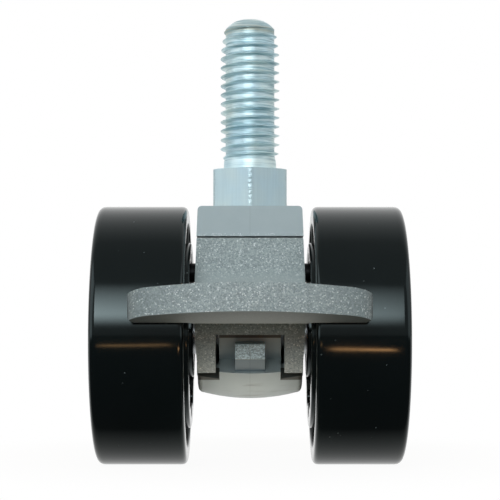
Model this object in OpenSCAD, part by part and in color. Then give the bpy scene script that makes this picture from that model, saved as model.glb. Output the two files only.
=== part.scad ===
// Braked twin-wheel castor with a threaded stem, in millimetres.
// The origin is on the stem's axis at the top face of its hexagon. Z runs up the stem,
// X along the axle, and the brake pedal points to -Y.
// Outlines seen from the side are drawn as [y, z] from the middle of the axle.

/* [Stem] */
// Major diameter of the thread
stem_d = 10; // [8:0.5:11]
// Length of the stem above the hexagon
stem_len = 25; // [15:1:50]
// Distance between two ridges of the thread
thread_pitch = 1.5; // [1:0.25:2]
// Depth of the thread
thread_depth = 0.85; // [0.5:0.05:1.1]
// Length of the domed tip
tip_len = 2.3; // [1:0.1:3]
// Diameter of the flat at the very tip
tip_d = 3.4; // [3:0.1:7]
// Diameter of the plain shank under the thread
relief_d = 8.8; // [6:0.1:9]
// Length of the plain shank under the thread
relief_len = 1.6; // [1:0.1:4]
// Hexagon across its flats
hex_af = 12; // [12:0.5:14]
// Height of the hexagon
hex_h = 7.4; // [4:0.1:9]
// Chamfer round the hexagon's corners
hex_chamfer = 0.4; // [0.2:0.05:0.8]
// Diameter of the journal that turns in the housing
journal_d = 8; // [6:0.25:8.5]
// Length of the journal below the hexagon
journal_len = 11.5; // [9.5:0.5:13]
// Wire of the clip that keeps the stem in
clip_wire = 1; // [0.6:0.1:1.2]
// Height of that clip above the journal's end
clip_up = 2.6; // [2:0.1:4]

/* [Bush] */
// Wall of the swivel bush
bush_wall = 1.75; // [1.5:0.05:2]
// Diameter of the bush's flange
flange_d = 13.4; // [12.5:0.1:14]
// Thickness of the bush's flange
flange_t = 1; // [0.6:0.1:1.5]

/* [Housing] */
// Width of the housing between the wheels
body_w = 16.9; // [16:0.1:18]
// Width of the housing at its top face
top_w = 15.9; // [15:0.1:16]
// Radius along the housing's top edges
top_edge = 0.6; // [0.4:0.1:1.5]
// Height of the top block above the brake lever
block_h = 4.6; // [3.5:0.1:5]
// Height of the housing's top above the top of the wheels
head = -0.3; // [-0.4:0.1:4]
// Distance of the axle in front of the stem
trail = 14; // [13:0.5:22]
// Distance of the flat front face ahead of the axle
front_reach = 8; // [7.5:0.1:9]
// Radius of the belly round the axle, at its middle
belly_r = 9.8; // [9.6:0.1:11]
// Radius of the belly at its sides
belly_side_r = 8.9; // [8.5:0.1:9.2]
// Width of the belly
belly_w = 16; // [14:0.1:16]
// Radius along the belly's edges
belly_edge = 0.9; // [0.3:0.1:1.2]
// Width of the spine between the lever's cheeks
spine_w = 9.4; // [9:0.1:10]
// Radius of the spine round the axle
spine_r = 6.2; // [5.8:0.1:6.4]
// Wall left under the stem's socket
socket_floor = 2; // [1.5:0.1:4]
// Radius of the housing's lower back corner
heel_r = 5; // [2:0.5:6]
// Width of the stop finger under the pedal
finger_w = 4.5; // [3:0.1:6]
// How far the finger's nose stands out
nose = 0.35; // [0.2:0.05:0.6]

/* [Wheels] */
// Diameter of a wheel
wheel_d = 40; // [39:1:60]
// Width of a wheel
wheel_w = 13.8; // [13:0.1:18]
// Wall of the wheel's rim
rim_t = 2.6; // [2:0.1:3]
// Rounding of the tread's outer edge
tread_edge = 0.7; // [0.3:0.1:1.2]
// Rounding of the tread's inner edge
tread_inner_edge = 1; // [0.4:0.1:1.5]
// Diameter of the raised disc on a wheel's inner side
disc_d = 28.8; // [28:0.1:30]
// How far that disc stands in from the rim
disc_proud = 0.5; // [0.3:0.1:1.5]
// Diameter of the hub that faces the lever
hub_d = 13; // [11:0.1:14]
// How far the hub stands in from the disc
hub_proud = 0.4; // [0.2:0.1:0.8]
// Wall of the wheel's outer web
web_t = 2.6; // [2:0.1:3.5]
// Depth of the dish in the outer face
dish = 0.8; // [0.4:0.1:1.2]
// Diameter of the axle
axle_d = 6; // [5:0.25:6.5]
// Wall of the wheel beyond the end of the axle
axle_cover = 2.6; // [2:0.1:4]
// Wire of the clips on the axle
axle_wire = 0.8; // [0.6:0.1:1]

/* [Brake] */
// Travel of the brake lever in degrees
press = 8; // [5:0.5:8.5]
// Thickness of the lever's front plate
plate_t = 2.6; // [2:0.1:2.8]
// Width of the pedal from wing to wing
pedal_w = 35; // [28:0.1:42]
// How far the pedal reaches beyond the wheels
pedal_over = 8; // [5:0.5:14]
// Thickness of the pedal
pedal_t = 3.8; // [2.5:0.1:4.2]
// Height of the pedal's underside above the axle
pedal_up = 1.75; // [1.5:0.05:3]
// Radius of the pedal's upward sweep
sweep_r = 25.4; // [20:0.1:40]
// Depth of each wing from back to front at its end
wing_tip = 4.7; // [4:0.1:6]
// Radius of the wings' front corners
wing_corner = 4.5; // [2:0.1:5]
// Radius of the wings' lower corners, seen from the front
wing_edge = 1.3; // [0.5:0.1:2]
// Radius where the wings leave the lever
wing_fillet = 0.9; // [0.4:0.1:1.2]
// Angle from level down to the ends of the lever's legs
leg_angle = 36; // [30:1:40]
// Width of the lever at the ends of its legs
leg_w = 15.8; // [15:0.1:16.2]
// Wall of the lever round its eyes and cam slots
lever_wall = 1.3; // [1:0.1:1.6]
// Diameter of the locking bar
bar_d = 3; // [2.5:0.1:3.2]
// Distance of the locking bar from the axle while the brake is off
bar_r = 9.7; // [9.2:0.1:10]
// How far the bar lifts into the teeth
bar_lift = 1.25; // [0.9:0.05:1.3]
// Length of the bar inside each wheel
bar_in = 2; // [1:0.1:3]
// Gaps for the bar round each wheel
teeth = 12; // [12]
// Diameter of the detent balls
ball_d = 2.4; // [2:0.1:2.6]
// How far a ball stands out of the spine
ball_out = 0.7; // [0.6:0.05:0.75]
// Distance of the detent from the axle
detent_r = 6.3; // [6:0.1:6.6]
// Angle of the detent, measured up from the back
detent_angle = 114; // [105:1:120]
// Wire of the detent spring
spring_wire = 0.36; // [0.3:0.02:0.5]
// Turns of the detent spring
spring_turns = 7; // [5:1:9]

/* [Clearances] */
// Radial clearance of shafts that turn
running = 0.05; // [0.03:0.01:0.08]
// Radial clearance of pieces fixed in a bore
seat = 0.01; // [0.01:0.01:0.02]
// Gap beside pieces that move past each other
play = 0.25; // [0.2:0.05:0.3]
// Gap between the hexagon and the bush's flange
swivel_gap = 0.1; // [0.05:0.05:0.2]
// Gap between the pedal's wings and the treads
wing_gap = 0.6; // [0.4:0.1:1.5]

/* [Hidden] */
$fn = 64;
far = 60;

// Stem and bush
thread_to = stem_len - tip_len;
thread_root_r = stem_d / 2 - thread_depth;
ridges = floor((thread_to - relief_len) / thread_pitch + 5 / 8);
hex_r = hex_af / 2 / cos(30);
journal_end = -hex_h - journal_len;
clip_z = journal_end + clip_up;
clip_mid_r = journal_d / 2 + clip_wire / 10;
clip_groove_r = clip_mid_r - clip_wire / 2;
bush_d = journal_d + 2 * bush_wall;
bush_top = -hex_h - swivel_gap;

// Housing, measured from the axle
wheel_r = wheel_d / 2;
axle_drop = hex_h + head + wheel_r;
top_q = axle_drop - hex_h - swivel_gap;
block_q = top_q - block_h;
socket_q = axle_drop + journal_end - swivel_gap;
heel_q = socket_q - socket_floor;
back_p = trail + body_w / 2;
spine_front = front_reach - plate_t - 1.6 * play;
waist_q = pedal_up + pedal_t + 2;

// Wheels, measured out from the middle of the castor
hub_face = body_w / 2 + play;
disc_face = hub_face + hub_proud;
rim_face = disc_face + disc_proud;
wheel_face = rim_face + wheel_w;
groove_floor = disc_face + bar_in + 2 * play;
axle_end = wheel_face - dish - axle_cover;
axle_clip_x = axle_end - 2.5 * axle_wire;
axle_clip_mid_r = axle_d / 2 + axle_wire / 10;

// Brake, measured from the axle
lever_w = body_w - play / 2;
cheek_in = spine_w / 2 + 2 * play;
eye_r = spine_r - play;
leg_r = belly_r - play / 2;
plate_top = block_q - play;
slot_r = bar_d / 2 + play / 2;
arm_top = bar_r + bar_lift + slot_r + lever_wall;
arm_back = (bar_r + bar_lift) * sin(press) + slot_r + lever_wall;
pedal_reach = wheel_r + pedal_over;
wing_p = wheel_r + wing_gap;
pedal_sag = pedal_reach - wing_p - wing_tip;
pedal_r = (pow(pedal_w / 2, 2) + pow(pedal_sag, 2)) / (2 * pedal_sag);
sweep_p = wing_p - 1.6;
window_angle = 0.3;
tooth_tip_r = bar_r + bar_d / 2 + play;
tooth_pocket_r = bar_d / 2 + 1.4 * play;
ball_x = spine_w / 2 - ball_d / 2 + ball_out;
dimple_r = ball_d / 2 + 3 * running;
spring_len = 2 * (ball_x - ball_d / 2) - 2 * swivel_gap;
spring_mid_r = ball_d / 2 - spring_wire / 2 - 2 * running;

// Points of an arc round c
function arc(c, r, from, to, n = 10) =
    [for (i = [0 : n]) let (a = from + (to - from) * i / n) c + r * [cos(a), sin(a)]];

// Points of a slot whose round ends have radius r
function slot(c1, c2, r) =
    let (a = atan2(c2[1] - c1[1], c2[0] - c1[0]))
    concat(arc(c1, r, a + 90, a + 270, 16), arc(c2, r, a - 90, a + 90, 16));

// Point at an angle and radius from the axle
function polar(r, a) = r * [cos(a), sin(a)];

// Angles of the leg ends, of the shelf that they come down to, and of the stop finger's top
leg_end = 180 + leg_angle;
stop_gap = 0.6;
shelf = leg_end + press + stop_gap;
finger_top = 180 - window_angle + press + stop_gap;
detent = polar(detent_r, detent_angle);

// Moves a piece from the axle's middle to its place under the stem
module at_axle() {
    translate([0, -trail, -axle_drop]) children();
}

// Carries a side outline across the castor
module across(w) {
    rotate([90, 0, 90]) linear_extrude(height = w, center = true) children();
}

// Turns an outline of [radius, distance along X] round the axle
module turned() {
    rotate([0, 90, 0]) rotate_extrude() children();
}

// Pin along X through a point of the side outline
module pin(p, d, w) {
    translate([0, p[0], p[1]]) rotate([0, 90, 0]) cylinder(d = d, h = w, center = true);
}

// Part of a ring round the axle, in side outline
module ring_part(r_in, r_out, from, to) {
    polygon(concat(arc([0, 0], r_out, from, to, 16), arc([0, 0], r_in, to, from, 16)));
}

// Open ring of round wire lying flat
module wire_ring(mid_r, wire, gap_angle) {
    rotate([0, 0, gap_angle / 2]) rotate_extrude(angle = 360 - gap_angle)
        translate([mid_r, 0]) circle(d = wire, $fn = 24);
}

// Section of one thread ridge at height z: crest an eighth of the pitch wide, root a quarter
function ridge(z) = [[thread_root_r, z - thread_pitch * 3 / 8], [stem_d / 2, z - thread_pitch / 16],
    [stem_d / 2, z + thread_pitch / 16], [thread_root_r, z + thread_pitch * 3 / 8]];

// Ridged and domed shank: the uppermost ridge runs out into the dome
module shank() {
    lower = [for (i = [ridges - 1 : -1 : 1]) each ridge(thread_to - i * thread_pitch)];
    top = ridge(thread_to);
    dome = [for (t = [1 : -0.125 : 0])
        [tip_d / 2 + (stem_d - tip_d) / 2 * pow(t, 0.75), stem_len - tip_len * t]];
    rotate_extrude() polygon(concat(
        [[0, -hex_h / 2], [relief_d / 2, -hex_h / 2], [relief_d / 2, relief_len],
            [thread_root_r, relief_len + abs(relief_d / 2 - thread_root_r)]],
        lower, [top[0], top[1]], dome, [[0, stem_len]]));
}

// Stem with its thread, hexagon and grooved journal
module stem() {
    color([0.78, 0.83, 0.85]) {
        translate([0, 0, -hex_h]) intersection() {
            rotate([0, 0, 30]) cylinder(r = hex_r, h = hex_h, $fn = 6);
            rotate_extrude() polygon([[0, 0], [hex_r, 0], [hex_r, hex_h - hex_chamfer],
                [hex_r - 2 * hex_chamfer, hex_h], [0, hex_h]]);
        }
        shank();
        rotate_extrude() polygon([[0, -hex_h / 2], [journal_d / 2, -hex_h / 2],
            [journal_d / 2, clip_z + clip_wire / 2 + running],
            [clip_groove_r - running, clip_z + clip_wire / 2 + running],
            [clip_groove_r - running, clip_z - clip_wire / 2 - running],
            [journal_d / 2, clip_z - clip_wire / 2 - running],
            [journal_d / 2, journal_end + clip_wire / 2],
            [journal_d / 2 - clip_wire / 2, journal_end], [0, journal_end]]);
    }
}

// Spring wire clip in the journal's groove
module stem_clip() {
    color([0.35, 0.36, 0.38]) translate([0, 0, clip_z]) wire_ring(clip_mid_r, clip_wire, 50);
}

// Flanged bush that the stem turns in, with a groove inside for the clip
module stem_bush() {
    bore_r = journal_d / 2 + running;
    groove_r = clip_mid_r + clip_wire / 2 + play / 2;
    groove_h = clip_wire / 2 + play / 2;
    foot = journal_end - swivel_gap;
    color([0.86, 0.85, 0.8]) rotate_extrude() polygon([[bore_r, bush_top], [flange_d / 2, bush_top],
        [flange_d / 2, bush_top - flange_t], [bush_d / 2, bush_top - flange_t], [bush_d / 2, foot],
        [bore_r, foot], [bore_r, clip_z - groove_h], [groove_r, clip_z - groove_h],
        [groove_r, clip_z + groove_h], [bore_r, clip_z + groove_h]]);
}

// Half section of the housing's upright body: straight below, tapered to its top
function body_half() =
    let (slope = atan2((body_w - top_w) / 2, top_q - waist_q))
    concat([[0, -belly_r], [body_w / 2, -belly_r], [body_w / 2, waist_q]],
        arc([top_w / 2 - top_edge, top_q - top_edge], top_edge, slope, 90, 5), [[0, top_q]]);

// Upright body: straight from the front face to the stem, then round behind it
module upright() {
    half = body_half();
    translate([0, trail, 0]) {
        rotate_extrude(angle = 180) polygon(half);
        rotate([90, 0, 0]) linear_extrude(height = trail + front_reach)
            polygon(concat(half, [for (i = [len(half) - 2 : -1 : 1]) [-half[i][0], half[i][1]]]));
    }
}

// Side outline of the housing above and behind the axle
module body_outline() {
    heel = [back_p - heel_r, heel_q + heel_r];
    run = atan2(heel[1], heel[0]) - acos((belly_side_r - heel_r) / norm(heel));
    polygon(concat([[-front_reach, top_q], [back_p, top_q]], arc(heel, heel_r, 0, run),
        [polar(belly_side_r, run), [0, 0], [-spine_front, 0], [-spine_front, block_q],
            [-front_reach, block_q]]));
}

// Crowned belly with rounded edges, turned round the axle and kept below it
module belly() {
    half = belly_w / 2 - belly_edge;
    crown = belly_r - belly_side_r;
    edge_r = belly_side_r - belly_edge;
    intersection() {
        turned() polygon(concat([[0, half + belly_edge], [0, -half - belly_edge]],
            arc([edge_r, -half], belly_edge, -90, -15, 4),
            [for (i = [-6 : 6]) [belly_r - crown * pow(i / 6, 2), half * i / 6]],
            arc([edge_r, half], belly_edge, 15, 90, 4)));
        across(body_w) translate([-far, -far]) square([2 * far, far]);
    }
}

// Room at each side for a cheek of the lever, over its whole travel
module cheek_room() {
    room_w = body_w / 2;
    for (side = [-1, 1]) translate([side * (spine_w / 2 + room_w / 2), 0, 0]) {
        across(room_w) polygon([[0, 0], polar(far, shelf), [-far, -far], [-far, block_q],
            [arm_back + play, block_q], [arm_back + play, 0]]);
        rotate([0, 90, 0]) cylinder(r = eye_r + play, h = room_w, center = true);
    }
}

// Side outline of the stop finger, whose upper half stands out as a nose
module finger_outline() {
    inner_r = spine_r + 3 * play;
    nose_r = belly_r - play;
    nose_end = (finger_top + leg_end) / 2;
    polygon(concat(arc([0, 0], nose_r, finger_top, nose_end, 6),
        arc([0, 0], nose_r - nose, nose_end + 1, shelf + leg_angle / 2, 8),
        arc([0, 0], inner_r, shelf + leg_angle / 2, finger_top, 8)));
}

// One casting: block and socket for the stem, spine on the axle, belly and stop finger
module housing() {
    bore_w = body_w + 2;
    color([0.56, 0.59, 0.6]) at_axle() {
        difference() {
            union() {
                intersection() {
                    upright();
                    across(body_w) body_outline();
                }
                rotate([0, 90, 0]) cylinder(r = spine_r, h = spine_w, center = true);
                belly();
            }
            cheek_room();
            across(2 * cheek_in) ring_part(spine_r, far, 180 - leg_angle, leg_end);
            pin([0, 0], axle_d + 2 * seat, bore_w);
            pin(detent, ball_d + 2 * running, bore_w);
            across(bore_w) polygon(slot([0, bar_r], [0, bar_r + bar_lift], slot_r));
            translate([0, trail, socket_q]) cylinder(d = bush_d + 2 * seat, h = far);
            translate([0, trail, top_q - flange_t - seat]) cylinder(d = flange_d + 2 * seat, h = far);
        }
        across(finger_w) finger_outline();
    }
}

// Plain steel axle with a groove near each end
module axle() {
    r = axle_d / 2;
    groove_r = axle_clip_mid_r - axle_wire / 2 - running;
    half_groove = axle_wire / 2 + running;
    half = [[r, axle_clip_x - half_groove], [groove_r, axle_clip_x - half_groove],
        [groove_r, axle_clip_x + half_groove], [r, axle_clip_x + half_groove],
        [r, axle_end - axle_wire / 2], [r - axle_wire / 2, axle_end]];
    color([0.7, 0.72, 0.74]) at_axle() turned() polygon(concat([[0, -axle_end]],
        [for (i = [len(half) - 1 : -1 : 0]) [half[i][0], -half[i][1]]], half, [[0, axle_end]]));
}

// Spring wire clip in the axle's groove at one side
module axle_clip(side) {
    color([0.35, 0.36, 0.38]) at_axle() translate([side * axle_clip_x, 0, 0])
        rotate([0, 90, 0]) wire_ring(axle_clip_mid_r, axle_wire, 60);
}

// One moulding: rim, web, blind hub, and a disc with gaps round it for the locking bar
module wheel(side) {
    bore_r = axle_d / 2 + running;
    clip_r = axle_clip_mid_r + axle_wire / 2 + play / 2;
    clip_half = axle_wire / 2 + play / 2;
    bore_end = axle_end + play;
    rim_r = wheel_r - rim_t;
    web_in = wheel_face - dish - web_t;
    color([0.05, 0.05, 0.06]) at_axle() mirror([side < 0 ? 1 : 0, 0, 0]) difference() {
        turned() polygon(concat(
            [[bore_r, hub_face], [hub_d / 2, hub_face], [hub_d / 2, groove_floor],
                [tooth_tip_r, groove_floor], [tooth_tip_r, disc_face], [disc_d / 2 - hub_proud, disc_face],
                [disc_d / 2, disc_face + hub_proud], [disc_d / 2, web_in], [rim_r, web_in],
                [rim_r, rim_face]],
            arc([wheel_r - tread_inner_edge, rim_face + tread_inner_edge], tread_inner_edge, -90, 0, 5),
            arc([wheel_r - tread_edge, wheel_face - tread_edge], tread_edge, 0, 90, 5),
            [[rim_r, wheel_face], [rim_r - dish, wheel_face - dish], [0, wheel_face - dish],
                [0, bore_end], [bore_r, bore_end], [bore_r, axle_clip_x + clip_half],
                [clip_r, axle_clip_x + clip_half], [clip_r, axle_clip_x - clip_half],
                [bore_r, axle_clip_x - clip_half]]));
        for (i = [0 : teeth - 1]) rotate([i * 360 / teeth, 0, 0])
            translate([disc_face - play, 0, bar_r + bar_lift]) rotate([0, 90, 0])
                cylinder(r = tooth_pocket_r, h = groove_floor - disc_face + play, $fn = 32);
    }
}

// Side outline of a cheek: eye on the axle, and arm to the locking bar
module cheek_outline() {
    circle(r = eye_r);
    polygon([[-front_reach, 0], [-front_reach, arm_top], [arm_back - lever_wall, arm_top],
        [arm_back, arm_top - lever_wall], [arm_back, eye_r / 2], [0, 0]]);
}

// Side outline of the pedal, swept up towards its front edge
module pedal_outline() {
    mid = [-sweep_p, pedal_up + sweep_r];
    rise = asin((pedal_reach - sweep_p) / sweep_r) + 4;
    polygon(concat([[plate_t - front_reach, pedal_up]], arc(mid, sweep_r, 270, 270 - rise),
        arc(mid, sweep_r - pedal_t, 270 - rise, 270), [[plate_t - front_reach, pedal_up + pedal_t]]));
}

// Plan of the wings, with a round corner at the front of each end
module wings() {
    corner_x = pedal_w / 2 - wing_corner;
    mid_y = pedal_r - pedal_reach;
    corner_y = mid_y - sqrt(pow(pedal_r - wing_corner, 2) - pow(corner_x, 2));
    tip = atan2(corner_y - mid_y, corner_x);
    corner = arc([corner_x, corner_y], wing_corner, 0, tip, 12);
    right = concat([[pedal_w / 2, -wing_p]], corner, [[0, -far]]);
    polygon(concat(right, [for (i = [len(right) - 2 : -1 : 0]) [-right[i][0], right[i][1]]]));
}

// Front view of the wings, with a round lower corner at each end
module wing_face() {
    mid = [pedal_w / 2 - wing_edge, pedal_up + wing_edge];
    right = concat([[mid[0], -far]], arc(mid, wing_edge, 270, 360, 6), [[pedal_w / 2, far]]);
    rotate([90, 0, 0]) linear_extrude(height = 2 * far, center = true)
        polygon(concat(right, [for (i = [len(right) - 1 : -1 : 0]) [-right[i][0], right[i][1]]]));
}

// Plan of the pedal: a round front edge, with wings that pass in front of the wheels
module pedal_plan() {
    intersection() {
        translate([0, pedal_r - pedal_reach]) circle(r = pedal_r, $fn = 128);
        union() {
            translate([-lever_w / 2, -far]) square([lever_w, far]);
            wings();
            for (side = [-1, 1]) difference() {
                translate([side * (lever_w + wing_fillet) / 2, -wing_p + wing_fillet / 2])
                    square(wing_fillet, center = true);
                translate([side * (lever_w / 2 + wing_fillet), -wing_p + wing_fillet])
                    circle(r = wing_fillet);
            }
        }
    }
}

// Rounded front under the pedal, cut into two legs and the bar between them
module lever_front() {
    difference() {
        across(lever_w) ring_part(eye_r / 2, leg_r, 180 - leg_angle / 3, leg_end);
        across(2 * cheek_in) ring_part(0, far, 180 - window_angle, leg_end + leg_angle);
    }
}

// Front view of the lever without its pedal: widest at the pedal, narrower above and below
module lever_face() {
    half = lever_w / 2;
    top = half - (body_w - top_w) / 2 * (plate_top - waist_q) / (top_q - waist_q);
    low = leg_r * sin(leg_end);
    right = [[leg_w / 2, low], [half, pedal_up], [half, waist_q], [top, plate_top]];
    rotate([90, 0, 0]) linear_extrude(height = 2 * far, center = true)
        polygon(concat(right, [for (i = [len(right) - 1 : -1 : 0]) [-right[i][0], right[i][1]]]));
}

// One casting: front plate, fan-shaped pedal, and two cheeks that turn on the axle
module brake_lever() {
    cheek_w = lever_w / 2 - cheek_in;
    color([0.5, 0.51, 0.5]) at_axle() difference() {
        union() {
            intersection() {
                union() {
                    translate([-lever_w / 2, -front_reach, pedal_up])
                        cube([lever_w, plate_t, plate_top - pedal_up]);
                    lever_front();
                    for (side = [-1, 1]) translate([side * (cheek_in + cheek_w / 2), 0, 0])
                        across(cheek_w) cheek_outline();
                }
                lever_face();
            }
            intersection() {
                across(2 * far) pedal_outline();
                wing_face();
                translate([0, 0, -far]) linear_extrude(height = 2 * far) pedal_plan();
            }
        }
        rotate([0, 90, 0]) cylinder(r = spine_r + 2 * play, h = 2 * cheek_in, center = true);
        pin([0, 0], axle_d + 2 * running, body_w + 2);
        across(body_w + 2) polygon(slot([0, bar_r], polar(bar_r + bar_lift, 90 - press), slot_r));
        for (side = [-1, 1], turn = [0, -press]) rotate([turn, 0, 0])
            translate([side * ball_x, detent[0], detent[1]]) sphere(r = dimple_r, $fn = 32);
    }
}

// Steel bar that the lever's cam slots lift into the teeth of both wheels
module brake_bar() {
    half = disc_face + bar_in;
    r = bar_d / 2;
    bevel = play;
    color([0.7, 0.72, 0.74]) at_axle() translate([0, 0, bar_r]) turned() polygon([[0, -half],
        [r - bevel, -half], [r, bevel - half], [r, half - bevel], [r - bevel, half], [0, half]]);
}

// Steel ball that clicks into the dimples of one cheek
module detent_ball(side) {
    color([0.8, 0.81, 0.82]) at_axle() translate([side * ball_x, detent[0], detent[1]]) sphere(d = ball_d);
}

// Coil spring that presses the two balls apart
module detent_spring() {
    sides = 6;
    steps = 14 * spring_turns;
    points = [for (i = [0 : steps], k = [0 : sides - 1])
        let (a = 360 * spring_turns * i / steps, b = 360 * k / sides,
            r = spring_mid_r + spring_wire / 2 * cos(b))
        [(spring_len - spring_wire) * (i / steps - 0.5) + spring_wire / 2 * sin(b), r * cos(a), r * sin(a)]];
    walls = [for (i = [0 : steps - 1], k = [0 : sides - 1])
        let (n = (k + 1) % sides)
        [i * sides + k, i * sides + n, (i + 1) * sides + n, (i + 1) * sides + k]];
    ends = [[for (k = [sides - 1 : -1 : 0]) k], [for (k = [0 : sides - 1]) steps * sides + k]];
    color([0.6, 0.62, 0.64]) at_axle() translate([0, detent[0], detent[1]])
        polyhedron(points = points, faces = concat(walls, ends));
}

stem();
stem_clip();
stem_bush();
housing();
axle();
axle_clip(-1);  // axle_clip_left
axle_clip(1);  // axle_clip_right
wheel(-1);  // wheel_left
wheel(1);  // wheel_right
brake_lever();
brake_bar();
detent_spring();
detent_ball(-1);  // detent_ball_left
detent_ball(1);  // detent_ball_right
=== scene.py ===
import math

import bmesh
import bpy
import numpy as np
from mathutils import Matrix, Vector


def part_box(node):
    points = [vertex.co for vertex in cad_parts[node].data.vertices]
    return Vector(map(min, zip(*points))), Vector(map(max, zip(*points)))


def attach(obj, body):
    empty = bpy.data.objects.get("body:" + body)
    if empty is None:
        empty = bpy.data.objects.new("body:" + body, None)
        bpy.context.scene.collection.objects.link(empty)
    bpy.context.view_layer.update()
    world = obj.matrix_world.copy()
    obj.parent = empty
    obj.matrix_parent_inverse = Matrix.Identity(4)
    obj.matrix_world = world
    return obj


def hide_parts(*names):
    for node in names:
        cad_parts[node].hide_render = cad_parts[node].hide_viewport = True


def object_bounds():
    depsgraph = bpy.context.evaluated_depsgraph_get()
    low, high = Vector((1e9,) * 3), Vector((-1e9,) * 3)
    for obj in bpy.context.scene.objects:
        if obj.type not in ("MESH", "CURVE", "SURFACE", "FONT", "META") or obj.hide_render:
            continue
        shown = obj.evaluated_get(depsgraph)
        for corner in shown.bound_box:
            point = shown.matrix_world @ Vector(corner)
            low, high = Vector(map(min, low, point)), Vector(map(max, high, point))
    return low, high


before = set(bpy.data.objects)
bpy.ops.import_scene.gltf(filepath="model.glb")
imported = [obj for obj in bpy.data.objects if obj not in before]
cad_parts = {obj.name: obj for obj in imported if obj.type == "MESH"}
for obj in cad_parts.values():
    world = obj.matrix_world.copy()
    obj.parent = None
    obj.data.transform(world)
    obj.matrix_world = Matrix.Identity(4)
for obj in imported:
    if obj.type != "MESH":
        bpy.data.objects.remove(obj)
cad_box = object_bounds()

# Stem
# A turned steel stem with a rolled 10 mm thread, a relief and a hexagon, zinc plated to a pale blue-white.
# Its journal goes down into the housing, where a wire clip holds it in a plastic bush.
MM = 0.001
STEM_COLUMNS = 144
THREAD_R = 4.88
THREAD_PITCH = 1.5
THREAD_DEPTH = 0.84
THREAD_START = 0.56
ROOT_SHARE = 0.52
FLANK_SHARE = 0.43
FLANK_HOLLOW = 1.25
LEAD_IN_FROM = 18.5
LEAD_IN = 0.6
LEAD_IN_POWER = 1.5
RELIEF_R = 4.32
RELIEF_TOP = 1.6
FILLET = 0.15
FILLET_TOP = 0.2
CUT_FROM = RELIEF_TOP - 0.3
SWELL_FROM = RELIEF_TOP - 0.1
RUN_OUT = 1.9
STEM_TOP = 25.0
TIP_FROM = 23.0
TIP_LEN = 1.75
TIP_FLAT_R = 1.65
TIP_SPREAD = 2.65
TIP_POWER = 0.55
HEX_HALF = 6.0
HEX_CORNER_R = 6.79
HEX_WAVER = 0.03
WAVER_SLOW = 7.3
WAVER_FAST = 17.1
HEX_CONE_FROM = -0.16
HEX_CONE_SLOPE = 2.0
HEX_TOP_R = HEX_HALF + 0.02
HEX_FOOT = -7.4
JOURNAL_R = 4.0
JOURNAL_LEN = 11.5
JOURNAL_CHAMFER = 0.5
GROOVE_R = 3.55
GROOVE_FROM = 2.05
GROOVE_TO = 3.15
SHOULDER_R = 5.95
EDGE_ROW = 0.05
SHARP_BELOW = 0.1
WARM_FROM = 22.2
WARM_FULL = 22.9
WARM_FADE = 23.3
WARM_END = 23.8
LINES_FROM = -0.5
LINES_FULL = 2.5


def skin(name, grid, sharp):
    """Closed surface over a grid of points in mm: rows run along the piece, columns go round it once.

    Each cell of the grid becomes one quad, the last column joins the first, and a row that shrinks to
    one point becomes a pole. Edges that turn by more than the sharp angle, in degrees, stay crisp.
    """
    rows, columns = grid.shape[:2]
    index = np.arange(rows * columns).reshape(rows, columns)
    low, high = index[:-1], index[1:]
    quads = np.stack([low, np.roll(low, -1, 1), np.roll(high, -1, 1), high], axis=-1).reshape(-1, 4)
    mesh = bpy.data.meshes.new(name)
    mesh.from_pydata((grid.reshape(-1, 3) * MM).tolist(), [], quads.tolist())
    work = bmesh.new()
    work.from_mesh(mesh)
    bmesh.ops.remove_doubles(work, verts=work.verts, dist=1e-7)
    bmesh.ops.recalc_face_normals(work, faces=work.faces)
    work.to_mesh(mesh)
    work.free()
    mesh.shade_smooth()
    mesh.set_sharp_from_angle(angle=math.radians(sharp))
    piece = bpy.data.objects.new(name, mesh)
    bpy.context.scene.collection.objects.link(piece)
    return piece


def sharp_only_below(mesh, limit):
    """Smooths the sharp edges of a mesh whose middle lies above a height in mm, as a rolled thread is."""
    sharp = mesh.attributes["sharp_edge"].data
    crisp = np.zeros(len(mesh.edges), dtype=bool)
    sharp.foreach_get("value", crisp)
    ends = np.zeros(len(mesh.edges) * 2, dtype=np.int32)
    mesh.edges.foreach_get("vertices", ends)
    points = np.zeros(len(mesh.vertices) * 3)
    mesh.vertices.foreach_get("co", points)
    edge_z = points.reshape(-1, 3)[ends.reshape(-1, 2)][:, :, 2].mean(axis=1)
    sharp.foreach_set("value", crisp & (edge_z < limit * MM))


def smooth(value, start, end):
    """Smooth rise from 0 at start to 1 at end."""
    t = np.clip((value - start) / (end - start), 0.0, 1.0)
    return t * t * (3.0 - 2.0 * t)


def hexagon_radius(angle, z):
    """Distance from the middle to a flat of the hexagon: half width over the cosine of the angle from
    that flat. The corners are cut back by a wavering amount, the sum of two sines of the height, where
    the drawing die has dragged, and a small cone takes off the top."""
    from_flat = np.mod(angle - math.pi / 6.0, math.pi / 3.0) - math.pi / 6.0
    flat = HEX_HALF / np.cos(from_flat)
    corner = HEX_CORNER_R + HEX_WAVER * (np.sin(WAVER_SLOW * z) + np.sin(WAVER_FAST * z))
    cone = HEX_CORNER_R - HEX_CONE_SLOPE * (z - HEX_CONE_FROM)
    return np.minimum(np.minimum(flat, corner), np.maximum(cone, HEX_TOP_R))


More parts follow.
